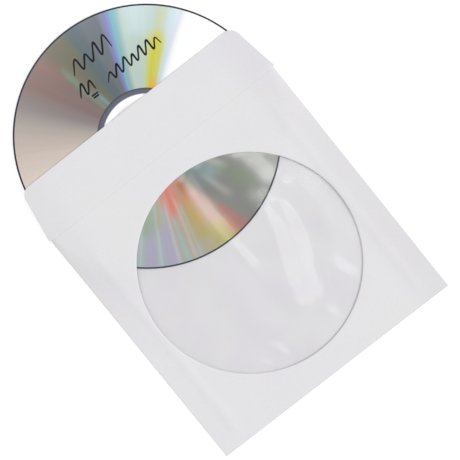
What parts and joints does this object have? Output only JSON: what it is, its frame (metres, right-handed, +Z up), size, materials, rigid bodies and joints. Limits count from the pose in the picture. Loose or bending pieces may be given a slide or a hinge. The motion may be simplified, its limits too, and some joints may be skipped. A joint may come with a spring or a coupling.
{
  "type": "cd sleeve",
  "caption": "Flat paper sleeve with a round film window and an open flap, holding a silver optical disc that stands half out of its mouth.",
  "frame": {"origin": "middle of the outline of sleeve and disc, on the surface that the sleeve lies on", "axes": "+X along the crease, +Y from the pocket towards the flap and the disc, +Z up through the window"},
  "size_m": [0.1282, 0.197, 0.0021],
  "materials": {
    "paper": "matte",
    "film": "gloss",
    "disc": "gloss"
  },
  "bodies": {
    "root": {"paper_sleeve": "paper", "window_film": "film", "disc": "disc"}
  },
  "joints": []
}
